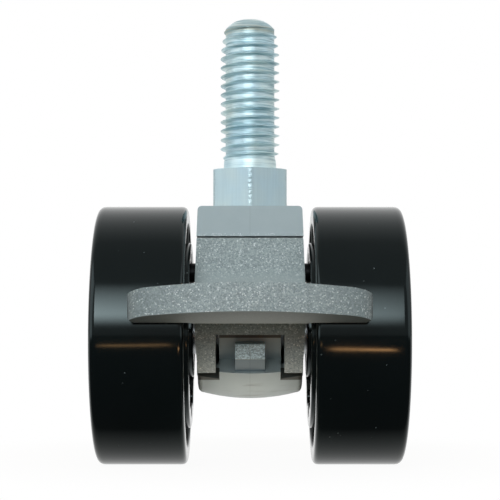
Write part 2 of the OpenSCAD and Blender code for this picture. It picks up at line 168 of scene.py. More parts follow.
def shank_radius(angle, z):
    """Distance from the middle to the threaded shank.

    The thread is a ridge over the phase z over pitch minus angle over a turn, with hollow flanks, a narrow
    crest and a wide root. It fades out into the relief below, and its crests fall off along a slow lead-in
    above. A tip that opens as a little more than the root of the depth below the end cuts it off.
    """
    phase = np.mod((z - THREAD_START) / THREAD_PITCH - angle / (2.0 * math.pi), 1.0)
    rise = 1.0 - np.abs(2.0 * phase - 1.0)
    height = np.clip((rise - ROOT_SHARE) / FLANK_SHARE, 0.0, 1.0) ** FLANK_HOLLOW
    cut = smooth(z, CUT_FROM, CUT_FROM + RUN_OUT)
    lead_in = np.clip((z - LEAD_IN_FROM) / (STEM_TOP - TIP_LEN - LEAD_IN_FROM), 0.0, 1.0) ** LEAD_IN_POWER
    outside = RELIEF_R + (THREAD_R - RELIEF_R) * smooth(z, SWELL_FROM, SWELL_FROM + RUN_OUT)
    thread = outside - THREAD_DEPTH * (1.0 - height) * cut - LEAD_IN * lead_in * height
    below_end = np.maximum(STEM_TOP - z, 0.0) / TIP_LEN
    return np.minimum(thread, TIP_FLAT_R + TIP_SPREAD * below_end ** TIP_POWER)


def stem_surface():
    """Stem from the end of its journal to its tip: rows of journal, of hexagon, then of threaded shank.

    The journal's rows are pairs of radius and height above its end, with a second row close to each edge
    that keeps the edge crisp."""
    angle = np.linspace(0.0, 2.0 * math.pi, STEM_COLUMNS, endpoint=False)[None, :]
    end_r = JOURNAL_R - JOURNAL_CHAMFER
    journal = np.array([
        [0.0, 0.0], [end_r - EDGE_ROW, 0.0], [end_r, 0.0],
        [JOURNAL_R, JOURNAL_CHAMFER], [JOURNAL_R, JOURNAL_CHAMFER + EDGE_ROW],
        [JOURNAL_R, GROOVE_FROM - EDGE_ROW], [JOURNAL_R, GROOVE_FROM],
        [GROOVE_R, GROOVE_FROM], [GROOVE_R, GROOVE_TO],
        [JOURNAL_R, GROOVE_TO], [JOURNAL_R, GROOVE_TO + EDGE_ROW],
        [JOURNAL_R, JOURNAL_LEN - EDGE_ROW], [JOURNAL_R, JOURNAL_LEN], [SHOULDER_R, JOURNAL_LEN],
    ]) + [0.0, HEX_FOOT - JOURNAL_LEN]
    # Rows lie closer together where the shape turns.
    hex_z = np.concatenate([[HEX_FOOT], np.linspace(HEX_FOOT + 0.06, -0.3, 60), np.linspace(-0.25, 0.0, 9)])
    shank_z = np.concatenate([
        np.linspace(0.0, FILLET_TOP, 4), np.linspace(2.0 * FILLET_TOP, RELIEF_TOP, 5),
        np.arange(RELIEF_TOP + 0.1, TIP_FROM, THREAD_PITCH / 24.0),
        TIP_FROM + (STEM_TOP - TIP_FROM) * np.linspace(0.0, 1.0, 40) ** 0.8,
    ])
    ledge = np.array([5.0, RELIEF_R + 0.2])
    flat_end = np.array([1.6, 0.8, 0.0])
    radius = np.concatenate([
        np.repeat(journal[:, :1], angle.size, axis=1),
        hexagon_radius(angle, hex_z[:, None]),
        np.repeat(ledge[:, None], angle.size, axis=1),
        shank_radius(angle, shank_z[:, None]) + FILLET * (1.0 - smooth(shank_z[:, None], 0.0, FILLET_TOP)),
        np.repeat(flat_end[:, None], angle.size, axis=1),
    ])
    z = np.concatenate([journal[:, 1], hex_z, 0.0 * ledge, shank_z, STEM_TOP + 0.0 * flat_end])[:, None]
    return np.stack([radius * np.cos(angle), radius * np.sin(angle), z + 0.0 * angle], axis=-1)


def linear(code):
    """Linear colour of an sRGB hex value."""
    srgb = [int(code[i:i + 2], 16) / 255.0 for i in (1, 3, 5)]
    return [c / 12.92 if c <= 0.04045 else ((c + 0.055) / 1.055) ** 2.4 for c in srgb] + [1.0]


def add_node(tree, kind, inputs=(), **settings):
    """Adds one node with its settings; an input is a number, a colour or the output that feeds it.

    A mix node's sockets go by number: 2 and 3 are values with output 0, 6 and 7 colours with output 2."""
    node = tree.nodes.new("ShaderNode" + kind)
    for key, value in settings.items():
        setattr(node, key, value)
    for key, value in dict(inputs).items():
        if isinstance(value, bpy.types.NodeSocket):
            tree.links.new(value, node.inputs[key])
        else:
            node.inputs[key].default_value = value
    return node


def new_material(name):
    """Empty material, its node tree, and the object coordinates in metres.

    A pattern's scale of 1000 over a size gives features of that size in mm."""
    material = bpy.data.materials.new(name)
    material.use_nodes = True
    tree = material.node_tree
    tree.nodes.clear()
    place = add_node(tree, "TexCoord").outputs["Object"]
    return material, tree, place


def use_shader(tree, shader):
    """Joins the shader to the material's surface."""
    add_node(tree, "OutputMaterial", {"Surface": shader.outputs[0]})


# Bright zinc plating: clear blue-white metal whose film shifts faintly from blue to green in patches a few
# mm wide, fine lines round the thread, a warmer and darker tone on the ridge next to the tip where the
# film is thick, and a greyer tone with faint lengthwise marks on the drawn flats of the hexagon.
zinc, tree, place = new_material("zinc_plated_steel")
patches = add_node(tree, "TexNoise", {"Vector": place, "Scale": 1000 / 5.0, "Detail": 2.0})
film = add_node(tree, "ValToRGB", {"Fac": patches.outputs["Fac"]})
film.color_ramp.elements[0].position = 0.35
film.color_ramp.elements[0].color = linear("#d7f0f8")
film.color_ramp.elements[1].position = 0.68
film.color_ramp.elements[1].color = linear("#e5f4f1")
height = add_node(tree, "SeparateXYZ", {"Vector": place}).outputs["Z"]
at_tip = add_node(tree, "MapRange", {"Value": height, "From Min": WARM_FROM * MM, "From Max": WARM_FULL * MM})
past_tip = add_node(tree, "MapRange", {"Value": height, "From Min": WARM_FADE * MM, "From Max": WARM_END * MM,
                                       "To Min": 0.6, "To Max": 0.04})
warm = add_node(tree, "Math", {0: at_tip.outputs[0], 1: past_tip.outputs[0]}, operation="MULTIPLY")
tinted = add_node(tree, "Mix", {"Factor": warm.outputs[0], 6: film.outputs["Color"], 7: linear("#8f8a66")},
                  data_type="RGBA")
stretch = add_node(tree, "Mapping", {"Vector": place, "Scale": (0.3, 0.3, 8.0)})
marks = add_node(tree, "TexNoise", {"Vector": stretch.outputs[0], "Scale": 1000 / 1.8, "Detail": 3.0})
line = add_node(tree, "MapRange", {"Value": marks.outputs["Fac"], "From Min": 0.36, "From Max": 0.56,
                                   "To Min": 0.85, "To Max": 0.0})
on_thread = add_node(tree, "MapRange", {"Value": height, "From Min": LINES_FROM * MM,
                                        "From Max": LINES_FULL * MM, "To Min": 0.05})
scored = add_node(tree, "Math", {0: line.outputs[0], 1: on_thread.outputs[0]}, operation="MULTIPLY")
lined = add_node(tree, "Mix", {"Factor": scored.outputs[0], 6: tinted.outputs[2], 7: linear("#86aeb8")},
                 data_type="RGBA")
lengthwise = add_node(tree, "Mapping", {"Vector": place, "Scale": (6.0, 6.0, 0.25)})
drag = add_node(tree, "TexNoise", {"Vector": lengthwise.outputs[0], "Scale": 1000 / 1.8, "Detail": 2.0})
streak = add_node(tree, "MapRange", {"Value": drag.outputs["Fac"], "From Min": 0.3, "From Max": 0.7,
                                     "To Min": 0.46, "To Max": 0.58})
on_hexagon = add_node(tree, "Math", {0: height, 1: 0.0}, operation="LESS_THAN")
drawn = add_node(tree, "Math", {0: streak.outputs[0], 1: on_hexagon.outputs[0]}, operation="MULTIPLY")
colour = add_node(tree, "Mix", {"Factor": drawn.outputs[0], 6: lined.outputs[2], 7: linear("#a2b8bf")},
                  data_type="RGBA")
dull = add_node(tree, "MapRange", {"Value": marks.outputs["Fac"], "To Min": 0.36, "To Max": 0.5})
grain = add_node(tree, "Bump", {"Height": marks.outputs["Fac"], "Strength": 0.25, "Distance": 0.02 * MM})
use_shader(tree, add_node(tree, "BsdfPrincipled", {
    "Base Color": colour.outputs[2], "Roughness": dull.outputs[0], "Metallic": 0.55,
    "Normal": grain.outputs[0]}))

stem = skin("threaded_stem", stem_surface(), sharp=25.0)
sharp_only_below(stem.data, SHARP_BELOW)
stem.data.materials.append(zinc)
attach(stem, "stem_body")
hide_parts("stem")

# Stem clip and bush
# An open ring of hard-drawn spring wire in the journal's groove, and the flanged plastic bush round it.
# The bush is pressed into the housing, and the clip snaps into a groove inside the bush.


def dress(node, material):
    """Gives a CAD node's own mesh one material."""
    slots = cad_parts[node].data.materials
    slots.clear()
    slots.append(material)


def two_tone(name, size, detail, tones, roughness, finish, squeeze=(1.0, 1.0, 1.0)):
    """Material whose colour and roughness each run between two values over noise of a size in mm.

    The noise is squeezed by a factor along each axis, and finish gives the shader's other inputs."""
    material, tree, place = new_material(name)
    lines = add_node(tree, "Mapping", {"Vector": place, "Scale": squeeze})
    noise = add_node(tree, "TexNoise", {"Vector": lines.outputs[0], "Scale": 1000 / size, "Detail": detail})
    tone = add_node(tree, "Mix", {"Factor": noise.outputs["Fac"], 6: linear(tones[0]), 7: linear(tones[1])},
                    data_type="RGBA")
    dull = add_node(tree, "MapRange", {"Value": noise.outputs["Fac"], "To Min": roughness[0],
                                       "To Max": roughness[1]})
    use_shader(tree, add_node(tree, "BsdfPrincipled", {
        "Base Color": tone.outputs[2], "Roughness": dull.outputs[0], **finish}))
    return material


# Hard-drawn spring wire: dark oiled steel with a fine mottle, semi-gloss.
spring_steel = two_tone("spring_steel", size=0.4, detail=3.0, tones=("#4c4f52", "#7b8084"),
                        roughness=(0.24, 0.4), finish={"Metallic": 1.0})
dress("stem_clip", spring_steel)

# Acetal: waxy ivory plastic, a little translucent, with a soft sheen.
acetal = two_tone("acetal", size=3.0, detail=2.0, tones=("#dcd9cd", "#e9e6da"), roughness=(0.32, 0.44),
                  finish={"Subsurface Weight": 0.1, "Subsurface Radius": (0.6 * MM, 0.5 * MM, 0.4 * MM)})
dress("stem_bush", acetal)

# Housing
# One zinc casting: a block round the stem, a spine on the axle, a round belly and a stop finger.
# It is sprayed with a smooth silver-grey enamel, and its edges are softened by the mould and the paint.
HOUSING_EDGE = 0.14
FLAT_ANGLE = 0.6
CREASE_ANGLE = 32.0
BLOCK_FOOT_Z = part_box("housing")[1].z / MM - 4.45
EDGE_GLINT_HALF = 0.3
axle_middle = (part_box("axle")[0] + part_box("axle")[1]) / (2.0 * MM)
AXLE_Y = axle_middle.y
AXLE_Z = axle_middle.z
NOSE_Z = AXLE_Z - 2.45
NOSE_HALF = 1.2
NOSE_BACK_Y = AXLE_Y - 8.5
LOW_FINGER_Z = NOSE_Z - 2.1
LOW_FINGER_HALF = 0.9
FINGER_HALF_W = 2.3
PARTING_HALF = 0.05
LEG_FOOT_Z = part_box("brake_lever")[0].z / MM
LEG_INNER_X = 4.6
LEG_GAP_Z = LEG_FOOT_Z - 0.2
LEG_GAP_HALF = 0.9
BEAM_Z = AXLE_Z - 0.1
BEAM_GAP_HALF = 0.3
BELLY_Z = LEG_FOOT_Z - 1.6


def cast_copy(node, name, edge):
    """Merged copy of a CAD node with its flat faces rejoined and its sharp edges rounded by edge, in mm."""
    mesh = bpy.data.meshes.new(name)
    work = bmesh.new()
    work.from_mesh(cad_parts[node].data)
    bmesh.ops.remove_doubles(work, verts=work.verts, dist=1e-6)
    bmesh.ops.dissolve_limit(work, angle_limit=math.radians(FLAT_ANGLE), verts=work.verts, edges=work.edges)
    work.to_mesh(mesh)
    work.free()
    if "custom_normal" in mesh.attributes:
        mesh.attributes.remove(mesh.attributes["custom_normal"])
    mesh.shade_smooth()
    mesh.set_sharp_from_angle(angle=math.radians(CREASE_ANGLE))
    piece = bpy.data.objects.new(name, mesh)
    bpy.context.scene.collection.objects.link(piece)
    rounding = piece.modifiers.new("soft_edges", "BEVEL")
    rounding.limit_method = "ANGLE"
    rounding.angle_limit = math.radians(CREASE_ANGLE)
    rounding.width = edge * MM
    rounding.segments = 2
    rounding.use_clamp_overlap = True
    rounding.harden_normals = True
    return piece


# Silver-grey enamel on a casting: smooth semi-gloss with a faint mottle, a fine parting line of the mould
# up its middle, worn bright specks on the finger's nose, and faint smears on the belly. Painted on it as
# light and shade: bright glints along the block's lower edge, where its rough edge catches light, dark
# painted shade in the gaps under the lever's legs and beam, and a milder painted shade on the finger's lower
# half.
enamel, tree, place = new_material("silver_enamel")
mottle = add_node(tree, "TexNoise", {"Vector": place, "Scale": 1000 / 2.5, "Detail": 4.0})
tone = add_node(tree, "Mix", {"Factor": mottle.outputs["Fac"], 6: linear("#9aa9ac"), 7: linear("#a5b3b5")},
                data_type="RGBA")
specks = add_node(tree, "TexVoronoi", {"Vector": place, "Scale": 1000 / 0.16})
speck_pick = add_node(tree, "SeparateXYZ", {"Vector": specks.outputs["Color"]}).outputs["X"]
spot = add_node(tree, "SeparateXYZ", {"Vector": place})
# Painted glints: a few bright specks along the block's lower edge, where its rough edge catches light.
low_edge = add_node(tree, "Math", {0: spot.outputs["Z"], 1: BLOCK_FOOT_Z * MM, 2: EDGE_GLINT_HALF * MM},
                    operation="COMPARE")
few = add_node(tree, "MapRange", {"Value": speck_pick, "From Min": 0.8, "From Max": 1.0, "To Max": 0.55})
edge_glint = add_node(tree, "Math", {0: low_edge.outputs[0], 1: few.outputs[0]}, operation="MULTIPLY")
nose_z = add_node(tree, "Math", {0: spot.outputs["Z"], 1: NOSE_Z * MM, 2: NOSE_HALF * MM},
                  operation="COMPARE")
nose_y = add_node(tree, "Math", {0: spot.outputs["Y"], 1: NOSE_BACK_Y * MM}, operation="LESS_THAN")
nose = add_node(tree, "Math", {0: nose_z.outputs[0], 1: nose_y.outputs[0]}, operation="MULTIPLY")
nose_tone = add_node(tree, "Mix", {"Factor": speck_pick, 6: linear("#829ca7"), 7: linear("#d8f1fa")},
                     data_type="RGBA")
blend = add_node(tree, "Mix", {"Factor": nose.outputs[0], 6: tone.outputs[2], 7: nose_tone.outputs[2]},
                 data_type="RGBA")
edge_glinted = add_node(tree, "Mix", {"Factor": edge_glint.outputs[0], 6: blend.outputs[2], 7: linear("#dfe6e6")},
                   data_type="RGBA")
parting = add_node(tree, "Math", {0: spot.outputs["X"], 1: 0.0, 2: PARTING_HALF * MM}, operation="COMPARE")
seam = add_node(tree, "Math", {0: parting.outputs[0], 1: 0.35}, operation="MULTIPLY")
parted = add_node(tree, "Mix", {"Factor": seam.outputs[0], 6: edge_glinted.outputs[2], 7: linear("#7d8a8d")},
                  data_type="RGBA")
# Painted shade: dark olive-brown in the gaps under the lever's legs and along the beam's lower edge.
under_leg = add_node(tree, "Math", {0: spot.outputs["Z"], 1: LEG_GAP_Z * MM, 2: LEG_GAP_HALF * MM},
                     operation="COMPARE")
aside = add_node(tree, "Math", {0: spot.outputs["X"]}, operation="ABSOLUTE")
by_leg = add_node(tree, "Math", {0: aside.outputs[0], 1: LEG_INNER_X * MM}, operation="GREATER_THAN")
front = add_node(tree, "Math", {0: spot.outputs["Y"], 1: AXLE_Y * MM}, operation="LESS_THAN")
corner = add_node(tree, "Math", {0: under_leg.outputs[0], 1: by_leg.outputs[0]}, operation="MULTIPLY")
crevice = add_node(tree, "Math", {0: spot.outputs["Z"], 1: BEAM_Z * MM, 2: BEAM_GAP_HALF * MM},
                   operation="COMPARE")
gaps = add_node(tree, "Math", {0: corner.outputs[0], 1: crevice.outputs[0]}, operation="MAXIMUM")
gap_shade = add_node(tree, "Math", {0: gaps.outputs[0], 1: front.outputs[0]}, operation="MULTIPLY")
gap_shade_share = add_node(tree, "Math", {0: gap_shade.outputs[0], 1: 0.85}, operation="MULTIPLY")
gap_shaded = add_node(tree, "Mix", {"Factor": gap_shade_share.outputs[0], 6: parted.outputs[2], 7: linear("#3a382e")},
                 data_type="RGBA")
# Painted shade: the finger's lower half is darkened by multiplying its colour.
low_z = add_node(tree, "Math", {0: spot.outputs["Z"], 1: LOW_FINGER_Z * MM, 2: LOW_FINGER_HALF * MM},
                 operation="COMPARE")
narrow = add_node(tree, "Math", {0: aside.outputs[0], 1: FINGER_HALF_W * MM}, operation="LESS_THAN")
low_half = add_node(tree, "Math", {0: low_z.outputs[0], 1: narrow.outputs[0]}, operation="MULTIPLY")
low_finger_shade = add_node(tree, "Math", {0: low_half.outputs[0], 1: front.outputs[0]}, operation="MULTIPLY")
finger = add_node(tree, "Mix", {"Factor": low_finger_shade.outputs[0], 6: gap_shaded.outputs[2], 7: linear("#ced5dc")},
                  data_type="RGBA", blend_type="MULTIPLY")
wiped = add_node(tree, "Mapping", {"Vector": place, "Scale": (0.3, 1.0, 1.6)})
smear = add_node(tree, "TexNoise", {"Vector": wiped.outputs[0], "Scale": 1000 / 1.6, "Detail": 4.0})
thick = add_node(tree, "MapRange", {"Value": smear.outputs["Fac"], "From Min": 0.52, "From Max": 0.7,
                                    "To Max": 0.45})
on_belly = add_node(tree, "Math", {0: spot.outputs["Z"], 1: BELLY_Z * MM}, operation="LESS_THAN")
smudge = add_node(tree, "Math", {0: thick.outputs[0], 1: on_belly.outputs[0]}, operation="MULTIPLY")
colour = add_node(tree, "Mix", {"Factor": smudge.outputs[0], 6: finger.outputs[2], 7: linear("#6a6d68")},
                  data_type="RGBA")
dull = add_node(tree, "MapRange", {"Value": mottle.outputs["Fac"], "To Min": 0.38, "To Max": 0.5})
peel = add_node(tree, "TexNoise", {"Vector": place, "Scale": 1000 / 0.6, "Detail": 2.0})
skin_bump = add_node(tree, "Bump", {"Height": peel.outputs["Fac"], "Strength": 0.12, "Distance": 0.03 * MM})
use_shader(tree, add_node(tree, "BsdfPrincipled", {
    "Base Color": colour.outputs[2], "Roughness": dull.outputs[0], "Metallic": 0.15,
    "Normal": skin_bump.outputs[0]}))

housing = cast_copy("housing", "housing_casting", HOUSING_EDGE)
housing.data.materials.append(enamel)
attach(housing, "swivel_body")
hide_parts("housing")

# Axle and its clips
# A plain ground steel pin pressed through the housing, with a wire clip in a groove near each end.
# The wheels' hubs snap over the clips.

# Ground steel: bright, with fine marks round the pin.
plain_steel = two_tone("plain_steel", size=2.0, detail=4.0, tones=("#a9adb0", "#cfd2d3"),
                       roughness=(0.2, 0.36), finish={"Metallic": 1.0}, squeeze=(14.0, 1.0, 1.0))
dress("axle", plain_steel)
dress("axle_clip_left", spring_steel)
dress("axle_clip_right", spring_steel)

# Wheels
# Two glossy black nylon mouldings, each with a rim, a web, a blind hub and a disc with twelve gaps that
# the locking bar enters. They snap onto the ends of the axle.
WHEEL_COLUMNS = 240
ROUND_STEPS = 6
WHEEL_R = 19.995
TREAD_ROUND = 1.2
FACE_RING_R = 16.8
DISH_R = 15.9
DISH_DEPTH = 0.9
CAP_FOOT_R = 9.4
CAP_R = 9.0
CAP_DEPTH = 0.65
RIM_INNER_R = 17.4
RIM_STEP = 0.9
WEB_DEPTH = 3.4
DISC_R = 14.4
DISC_STEP = 0.4
WELL_STEP = 2.9
HUB_R = 6.5
BORE_R = 3.05
BORE_DEPTH = 3.15
CLIP_R = 3.6
CLIP_DEPTH = 5.4
CLIP_HALF = 0.52
GAPS = 12
GAP_MID_R = 10.95
GAP_R = 1.85
GAP_INNER_R = 11.45


def rounded(corners, steps):
    """Outline through corners given as radius, distance and rounding: each corner becomes an arc of so many
    steps, as a curve from one tangent point to the next with the corner as its control point."""
    corners = np.asarray(corners, dtype=float)
    here = corners[:, :2]
    back = np.roll(here, 1, axis=0) - here
    ahead = np.roll(here, -1, axis=0) - here
    back /= np.linalg.norm(back, axis=1, keepdims=True)
    ahead /= np.linalg.norm(ahead, axis=1, keepdims=True)
    half = np.arccos(np.clip((back * ahead).sum(axis=1), -1.0, 1.0)) / 2.0
    cut = (corners[:, 2] / np.maximum(np.tan(half), 1e-6))[:, None]
    start, end = here + back * cut, here + ahead * cut
    t = np.linspace(0.0, 1.0, steps)[None, :, None]
    arcs = (1 - t) ** 2 * start[:, None] + 2 * t * (1 - t) * here[:, None] + t ** 2 * end[:, None]
    return arcs.reshape(-1, 2)


def wheel_outline():
    """Corners of the wheel's half section as radius, distance from the middle, rounding and gap share.

    Depths go in from the outer face, and steps go out from the hub's inner end. The gap share is 1 on the
    wall of the brake disc, which follows the twelve gaps, and 0 elsewhere."""
    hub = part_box("wheel_right")[0].x / MM
    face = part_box("wheel_right")[1].x / MM
    cap, dish = face - CAP_DEPTH, face - DISH_DEPTH
    web, bore_end = face - WEB_DEPTH, face - BORE_DEPTH
    disc, rim, well = hub + DISC_STEP, hub + RIM_STEP, hub + WELL_STEP
    clip_in, clip_out = face - CLIP_DEPTH - CLIP_HALF, face - CLIP_DEPTH + CLIP_HALF
    return np.array([
        [0.0, cap, 0.0, 0], [CAP_R, cap, 0.4, 0], [CAP_FOOT_R, dish, 0.4, 0],
        [DISH_R, dish, 1.2, 0], [FACE_RING_R, face, 0.5, 0],
        [WHEEL_R, face, TREAD_ROUND, 0], [WHEEL_R, rim, 0.95, 0],
        [RIM_INNER_R, rim, 0.3, 0], [RIM_INNER_R, web, 0.6, 0],
        [DISC_R, web, 0.6, 0], [DISC_R, disc, 0.4, 0],
        [GAP_INNER_R, disc, 0.1, 1], [GAP_INNER_R, well, 0.0, 1],
        [HUB_R, well, 0.3, 0], [HUB_R, hub, 0.25, 0],
        [BORE_R, hub, 0.2, 0], [BORE_R, clip_in, 0.0, 0],
        [CLIP_R, clip_in, 0.0, 0], [CLIP_R, clip_out, 0.0, 0],
        [BORE_R, clip_out, 0.0, 0], [BORE_R, bore_end, 0.0, 0], [0.0, bore_end, 0.0, 0]])


def wheel_grid(side):
    """Wheel turned round the axle from its rounded half section, on the side given as -1 or 1.

    The wall of the brake disc follows the larger of its inner circle and twelve pocket circles: from the
    axle, a pocket's far side lies at m cos a plus the root of p squared minus (m sin a) squared.
    """
    corners = wheel_outline()
    outline = rounded(corners[:, :3], ROUND_STEPS)
    gap_share = np.repeat(corners[:, 3], ROUND_STEPS)[:, None]
    angle = np.linspace(0.0, 2.0 * math.pi, WHEEL_COLUMNS, endpoint=False)[None, :]
    off = np.mod(angle + math.pi / GAPS, 2.0 * math.pi / GAPS) - math.pi / GAPS
    inside = GAP_R ** 2 - (GAP_MID_R * np.sin(off)) ** 2
    pocket = GAP_MID_R * np.cos(off) + np.sqrt(np.maximum(inside, 0.0))
    wall = np.maximum(GAP_INNER_R, np.where(inside > 0.0, pocket, 0.0))
    radius = outline[:, :1] + gap_share * (wall - GAP_INNER_R)
    across = side * outline[:, 1:] + 0.0 * angle
    return np.stack([across, AXLE_Y + radius * np.sin(angle), AXLE_Z + radius * np.cos(angle)], axis=-1)


# Black nylon from a polished mould: deep black, glossy, with a slight waviness of the moulded skin and a
# few grey specks of dust about a fifth of a mm wide.
nylon, tree, place = new_material("black_nylon")
skin_wave = add_node(tree, "TexNoise", {"Vector": place, "Scale": 1000 / 4.0, "Detail": 3.0})
tone = add_node(tree, "Mix", {"Factor": skin_wave.outputs["Fac"], 6: linear("#030708"), 7: linear("#070c0d")},
                data_type="RGBA")
dust = add_node(tree, "TexVoronoi", {"Vector": place, "Scale": 1000 / 2.2})
speck = add_node(tree, "Math", {0: dust.outputs["Distance"], 1: 0.05}, operation="LESS_THAN")
fallen = add_node(tree, "Math", {0: speck.outputs[0], 1: dust.outputs["Color"]}, operation="MULTIPLY")
dusty = add_node(tree, "Mix", {"Factor": fallen.outputs[0], 6: tone.outputs[2], 7: linear("#667070")},
                 data_type="RGBA")
dull = add_node(tree, "MapRange", {"Value": skin_wave.outputs["Fac"], "To Min": 0.08, "To Max": 0.15})
fine = add_node(tree, "TexNoise", {"Vector": place, "Scale": 1000 / 0.9, "Detail": 3.0})
ripple = add_node(tree, "Bump", {"Height": fine.outputs["Fac"], "Strength": 0.1, "Distance": 0.02 * MM})
# The specular tint turns the reflections faintly teal: a painted tint standing in for the room's light.
use_shader(tree, add_node(tree, "BsdfPrincipled", {
    "Base Color": dusty.outputs[2], "Roughness": dull.outputs[0], "IOR": 1.48,
    "Specular Tint": linear("#e3f8f8"), "Normal": ripple.outputs[0]}))

for side, word in ((-1, "left"), (1, "right")):
    wheel = skin("nylon_wheel_" + word, wheel_grid(side), sharp=35.0)
    wheel.data.materials.append(nylon)
    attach(wheel, word + "_wheel")
    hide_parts("wheel_" + word)

# Locking bar
# A short steel bar across the housing, blackened against rust. The lever's cam slots lift it into the
# wheels' gaps.

# Black oxide on ground steel: almost black, thin, with a dull sheen and fine marks along the bar.
blackened = two_tone("blackened_steel", size=0.5, detail=3.0, tones=("#121314", "#26282a"),
                     roughness=(0.32, 0.5), finish={"Metallic": 0.6}, squeeze=(0.2, 1.0, 1.0))
dress("brake_bar", blackened)

# Brake lever
# One zinc casting: a front plate, a fan-shaped pedal, and two legs whose cheeks turn on the axle.
# It has a sandy cast skin under thin silver-grey paint, so bright metal grains show through.
LEVER_EDGE = 0.2
PEDAL_ROOT_Z = AXLE_Z + 6.5
CORNER_Z = AXLE_Z + 8.5
CORNER_END_Z = AXLE_Z + 10.2
PLATE_Y = AXLE_Y - 15.0
END_SHADE_FROM = 7.0
END_SHADE_TO = 15.0

# Sand-textured silver paint: grains about a sixth of a mm wide, from dark to light grey, with a few of
# bare bright metal. The underside, and the corner where the plate meets the pedal, are nearly smooth. The
# pedal's ends are darkened with painted shade, where they turn away from the front light.
grainy, tree, place = new_material("textured_silver_paint")
grains = add_node(tree, "TexVoronoi", {"Vector": place, "Scale": 1000 / 0.17})
pick = add_node(tree, "SeparateXYZ", {"Vector": grains.outputs["Color"]}).outputs["X"]
sand = add_node(tree, "TexNoise", {"Vector": place, "Scale": 1000 / 0.5, "Detail": 4.0, "Roughness": 0.7})
mixed = add_node(tree, "Mix", {"Factor": 0.45, 2: pick, 3: sand.outputs["Fac"]})
facing = add_node(tree, "SeparateXYZ", {"Vector": add_node(tree, "TexCoord").outputs["Normal"]}).outputs["Z"]
from_below = add_node(tree, "MapRange", {"Value": facing, "From Min": -0.9, "From Max": -0.5, "To Min": 0.15})
spot = add_node(tree, "SeparateXYZ", {"Vector": place})
above = add_node(tree, "Math", {0: spot.outputs["Z"], 1: PEDAL_ROOT_Z * MM}, operation="GREATER_THAN")
behind = add_node(tree, "Math", {0: spot.outputs["Y"], 1: PLATE_Y * MM}, operation="GREATER_THAN")
corner = add_node(tree, "Math", {0: above.outputs[0], 1: behind.outputs[0]}, operation="MULTIPLY")
up_plate = add_node(tree, "MapRange", {"Value": spot.outputs["Z"], "From Min": CORNER_Z * MM,
                                       "From Max": CORNER_END_Z * MM, "To Min": 0.2})
settled = add_node(tree, "Mix", {"Factor": corner.outputs[0], 2: 1.0, 3: up_plate.outputs[0]})
sanded = add_node(tree, "Math", {0: from_below.outputs[0], 1: settled.outputs[0]}, operation="MULTIPLY")
shade = add_node(tree, "Mix", {"Factor": sanded.outputs[0], 2: 0.54, 3: mixed.outputs[0]})
sand_tone = add_node(tree, "Mix", {"Factor": shade.outputs[0], 6: linear("#6a7778"), 7: linear("#b8c4c3")},
                     data_type="RGBA")
# Painted shade: the pedal darkens outwards towards its ends, which turn away from the front light.
aside = add_node(tree, "Math", {0: spot.outputs["X"]}, operation="ABSOLUTE")
end_shade = add_node(tree, "MapRange", {"Value": aside.outputs[0], "From Min": END_SHADE_FROM * MM,
                                     "From Max": END_SHADE_TO * MM, "To Max": 0.35})
tone = add_node(tree, "Mix", {"Factor": end_shade.outputs[0], 6: sand_tone.outputs[2], 7: linear("#5f6a69")},
                data_type="RGBA")
bright = add_node(tree, "MapRange", {"Value": pick, "From Min": 0.9, "From Max": 0.98, "To Max": 0.85})
flake = add_node(tree, "Math", {0: bright.outputs[0], 1: sanded.outputs[0]}, operation="MULTIPLY")
colour = add_node(tree, "Mix", {"Factor": flake.outputs[0], 6: tone.outputs[2], 7: linear("#d6dddb")},
                  data_type="RGBA")
metal = add_node(tree, "MapRange", {"Value": flake.outputs[0], "To Min": 0.1, "To Max": 0.4})
dull = add_node(tree, "MapRange", {"Value": flake.outputs[0], "To Min": 0.55, "To Max": 0.34})
rough = add_node(tree, "Bump", {"Height": shade.outputs[0], "Strength": 0.5, "Distance": 0.05 * MM})
use_shader(tree, add_node(tree, "BsdfPrincipled", {
    "Base Color": colour.outputs[2], "Roughness": dull.outputs[0], "Metallic": metal.outputs[0],
    "Normal": rough.outputs[0]}))

lever = cast_copy("brake_lever", "brake_lever_casting", LEVER_EDGE)
lever.data.materials.append(grainy)
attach(lever, "lever")
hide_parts("brake_lever")

# Detent
# Two hardened steel balls and the coil spring between them, in a cross bore of the housing.
# They click into dimples of the lever's cheeks and hold it up or down.
dress("detent_ball_left", plain_steel)
dress("detent_ball_right", plain_steel)
dress("detent_spring", spring_steel)

# Studio
# White paper under the wheels that ends in front of them on a dark table, a white backdrop, soft boxes in
# front, a soft panel on each side, warm strips low in front, and the paper's bounce under the belly.
FLOOR_Z = cad_box[0].z
HALF_FLOOR = 3.0
FADE_FROM = 30.0
FADE_TO = 65.0
SHEET_EDGE_Y = AXLE_Y - 14.5
SHEET_FULL_Y = AXLE_Y + 0.5
CLOTH_FOOT = 0.02
CLOTH_PEAK = 0.34
BOUNCE_Y = -12.5
LENS = 115.2
CAMERA_DISTANCE = 250.0
CAMERA_RISE = 0.8
CAMERA_TILT = 92.86


def shows_white(tree, share):
    """1 on rays from the camera, share on glossy reflections and rays through glass, 0 on other rays."""
    path = add_node(tree, "LightPath")
    other = add_node(tree, "Math", {0: path.outputs["Is Glossy Ray"], 1: path.outputs["Is Transmission Ray"]},
                     operation="MAXIMUM")
    shared = add_node(tree, "Math", {0: other.outputs[0], 1: share}, operation="MULTIPLY")
    return add_node(tree, "Math", {0: path.outputs["Is Camera Ray"], 1: shared.outputs[0]},
                    operation="MAXIMUM").outputs[0]


floor_mesh = bpy.data.meshes.new("floor")
floor_mesh.from_pydata([(-HALF_FLOOR, -HALF_FLOOR, FLOOR_Z), (HALF_FLOOR, -HALF_FLOOR, FLOOR_Z),
                        (HALF_FLOOR, HALF_FLOOR, FLOOR_Z), (-HALF_FLOOR, HALF_FLOOR, FLOOR_Z)],
                       [], [(0, 1, 2, 3)])
floor = bpy.data.objects.new("floor", floor_mesh)
bpy.context.scene.collection.objects.link(floor)

